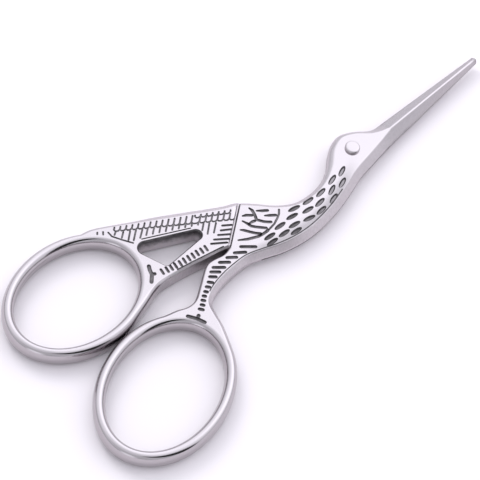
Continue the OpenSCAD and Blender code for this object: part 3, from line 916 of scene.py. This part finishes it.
finishes = [
    plated_steel(),
    filmed_steel("blackened_groove", 0.12, 0.21, 0.5),
    filmed_steel("fine_groove", 0.1, 0.18, 0.45),
    # The scale floors are lighter, more and more towards the head.
    filmed_steel("scale_floor", 0.1, 0.36, 0.4, 0.8),
    bare_steel()]
print("finishes:", [material.name for material in finishes])

# %% [markdown]
# ## The two halves
# The plate is cut by the blocks first and by the ornament second, each with one exact Boolean.
# The results are then read back as plain meshes, so no cutter has to be kept. The plates are closed
# before the cuts. Where one mark meets another, the exact cut leaves some edges of the rims
# unpaired, so the finished halves aren't fully closed, and their count is printed.

# %% Cut, finish and place a half
def lapped(x, y):
    """1 where the neck and head are lapped, 0 on the full-thickness rings and on the blades."""
    return clamp((x + 31.5) / 1.0) * clamp((9.0 - x) / 3.0)


def cut(piece, cutter):
    tool = piece.modifiers.new("cut", "BOOLEAN")
    tool.operation, tool.solver, tool.object = "DIFFERENCE", "EXACT", cutter
    tool.use_self = True


def settle(piece):
    """Replace a piece's mesh by the result of its modifiers."""
    bpy.context.view_layer.update()
    ready = piece.evaluated_get(bpy.context.evaluated_depsgraph_get())
    mesh = bpy.data.meshes.new_from_object(ready)
    mesh.name = piece.name
    piece.modifiers.clear()
    piece.data = mesh


CREASE_ANGLE, RIVET_CREASE_ANGLE = 66, 40


def soften(piece, crease):
    """Smooth shading with creases kept, and flat faces that stay flat."""
    mesh = piece.data
    mesh.polygons.foreach_set("use_smooth", [True] * len(mesh.polygons))
    bm = bmesh.new()
    bm.from_mesh(mesh)
    for e in bm.edges:
        different = len({f.material_index for f in e.link_faces}) > 1
        e.smooth = not (different or len(e.link_faces) != 2 or e.calc_face_angle(0) > radians(crease))
    print(piece.name, len(bm.faces), "faces,", unpaired(bm), "unpaired edges")
    bm.to_mesh(mesh)
    bm.free()
    weigh = piece.modifiers.new("flat faces", "WEIGHTED_NORMAL")
    weigh.keep_sharp = True


def forge(name, body, node, outline, cutting_below, holes, blocks, marks):
    piece = to_object(rounded_plate(outline, cutting_below, holes, lapped), name)
    for mesh in [piece.data] + [cutter.data for cutter in blocks + marks]:
        for material in finishes[len(mesh.materials):]:
            mesh.materials.append(material)
    for cutter in blocks + marks:
        cut(piece, cutter)
    settle(piece)
    soften(piece, CREASE_ANGLE)
    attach(piece, body)
    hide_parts(node)


marks = [ornament(HALF, "front_marks"), ornament(-HALF, "back_marks")]
hole = rivet_hole("rivet_hole")
leg_blocks = shoulder_blocks(FRONT_SEAM, BACK_SEAM, 1, "leg_blocks")
tail_blocks = shoulder_blocks(BACK_SEAM, FRONT_SEAM, -1, "tail_blocks")
forge("leg_half_forged", "front_half", "leg_half", leg_body, True, [finger_hole(LEG_RING)],
      [leg_blocks, hole], marks)
forge("tail_half_forged", "back_half", "tail_half", tail_body, False,
      [finger_hole(TAIL_RING), window], [tail_blocks, hole], marks)
for cutter in marks + [hole, leg_blocks, tail_blocks]:
    bpy.data.objects.remove(cutter)

# %% [markdown]
# ## The rivet
# The rivet is turned: a flat-topped head with a rounded rim, a shank through both layers and a
# spread end that fills the countersink in the back.

# %% Turn the rivet
HEAD_R, HEAD_H, HEAD_ROUND = 1.5, 0.65, 0.38
HEAD_TOP = HALF + HEAD_H
bm = bmesh.new()
foot = [(0, -HALF), (FOOT_R, -HALF), (SHANK_R, FOOT_H - HALF)]
neck = [(SHANK_R, HALF + LAP_GAP / 2), (HEAD_R, HALF + LAP_GAP / 2)]
rim = [(HEAD_R - HEAD_ROUND * (1 - cos(radians(a))), HEAD_TOP - HEAD_ROUND * (1 - sin(radians(a))))
       for a in range(0, 90, 15)]
crown_top = [(HEAD_R - HEAD_ROUND, HEAD_TOP - 0.002), (HEAD_R * 0.45, HEAD_TOP), (0, HEAD_TOP)]
add_turned(bm, foot + neck + rim + crown_top)
bmesh.ops.recalc_face_normals(bm, faces=bm.faces)
rivet = to_object(bm, "rivet_turned")
rivet.data.materials.append(finishes[STEEL])
soften(rivet, RIVET_CREASE_ANGLE)
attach(rivet, "back_half")
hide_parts("pivot_rivet")

# %% [markdown]
# ## Table, light and camera
# The scissors lie on a white table in a white tent, with one soft lamp behind it. Polished metal
# shows its surroundings, so the tent matters more than the lamp.

# %% The white table
FLOOR_SIZE = 1.6
bm = bmesh.new()
bmesh.ops.create_grid(bm, x_segments=1, y_segments=1, size=FLOOR_SIZE)
table_mesh = bpy.data.meshes.new("table")
bm.to_mesh(table_mesh)
bm.free()
table = bpy.data.objects.new("table", table_mesh)
bpy.context.scene.collection.objects.link(table)
paper = new_material("white_table")
table_mesh.materials.append(paper.finish(
    "Principled BSDF", Base_Color=(0.92, 0.88, 0.905, 1.0), Roughness=0.9, Specular_IOR_Level=0.0))

# %% [markdown]
# The camera looks down at 57 degrees and is rolled a little, as the picture was taken. Its place
# is worked out from where it looks, so the view can be checked against the object's own axes.

# %% Camera
LOOK = Vector((-9.541, 1.439, 2.05)) * MM
AZIMUTH, ELEVATION, ROLL = 215.4, 57.0, 11.0
DISTANCE = 368.6 * MM
HALF_PICTURE, FOCAL_LENGTH = 240, 1930


def heading(azimuth, elevation):
    """The direction at an azimuth and an elevation, both in degrees."""
    level = cos(radians(elevation))
    return Vector((level * cos(radians(azimuth)), level * sin(radians(azimuth)),
                   sin(radians(elevation))))


towards = heading(AZIMUTH, ELEVATION)
camera = bpy.data.objects.new("camera", bpy.data.cameras.new("camera"))
bpy.context.scene.collection.objects.link(camera)
camera.data.angle = 2 * atan(HALF_PICTURE / FOCAL_LENGTH)
camera.location = LOOK + towards * DISTANCE
facing = (-towards).to_track_quat("-Z", "Y") @ Matrix.Rotation(radians(ROLL), 4, "Z").to_quaternion()
camera.rotation_mode = "QUATERNION"
camera.rotation_quaternion = facing
camera.data.clip_start, camera.data.clip_end = 0.01, 20
bpy.context.scene.camera = camera

# %% [markdown]
# The sky is a white tent, drawn by direction. It is brightest behind the scissors and a little to
# the right, and dimmer on the near left and close to the table. The photographer makes one dark
# band in it, from the camera down to the table on the right. That band draws the thin dark line
# along every rounded edge that faces it. A window low on the left gives one bright spot.

# %% Sky and lamp
bpy.context.scene.world = bpy.data.worlds.new("studio")
sky = Finish(bpy.context.scene.world)
direction = sky.node("ShaderNodeTexCoord")


def along_axis(axis):
    """How far every sky direction goes along an axis, from -1 to 1."""
    return sky.node("ShaderNodeVectorMath", {"operation": "DOT_PRODUCT"}, output=1,
                    _0=direction, _1=Vector(axis).normalized())


def glow(azimuth, elevation, radius, soft, strength):
    """A round bright patch of the tent with a soft rim; its sizes are in degrees."""
    reach = along_axis(heading(azimuth, elevation))
    return sky.ramp(reach, cos(radians(radius + soft)), cos(radians(max(0, radius - soft))), 0, strength)


tent = (0.8 + sky.ramp(along_axis((0, 0, 1)), 0.1, 0.5, 0, 0.26) + glow(20, 50, 32, 16, 0.38)
        + glow(310, 42, 38, 20, 0.12) + glow(195, 8, 11, 7, 0.75) - glow(205, 50, 34, 16, 0.2))
rightward = sky.ramp(along_axis((0.89, -0.23, -0.39)), -0.12, 0.12, 0.95, 1.06)
BAND_LENGTH, BAND_WIDTH = 41, 14
start, end = heading(224, 54), heading(282, 0)
lengthwise = along_axis(end - start) * (1 / sin(radians(BAND_LENGTH)))
crosswise = along_axis(start.cross(end)) * (1 / sin(radians(BAND_WIDTH)))
band = sky.ramp(lengthwise * lengthwise + crosswise * crosswise, 0.6, 1.2, 0.03, 1.0)
sky.finish("Background", Color=sky.node("ShaderNodeVectorMath", {"operation": "SCALE"},
                                        _0=(0.99, 1.0, 1.07), Scale=tent * rightward * band))


def soft_lamp(name, place, size, power):
    data = bpy.data.lights.new(name, "AREA")
    data.shape, data.size, data.energy = "DISK", size, power
    data.color = (1.0, 0.99, 1.0)
    lamp = bpy.data.objects.new(name, data)
    lamp.location = place
    lamp.visible_glossy = False
    lamp.rotation_mode = "QUATERNION"
    lamp.rotation_quaternion = (-Vector(place)).to_track_quat("-Z", "Y")
    bpy.context.scene.collection.objects.link(lamp)
    return lamp


soft_lamp("tent_lamp", heading(80, 45) * 0.8, 0.4, 1.6)

# %% [markdown]
# ## View settings
# The dressed scissors have to fill the same box as the plain solids.

# %% View settings
bpy.context.scene.view_settings.view_transform = "Standard"
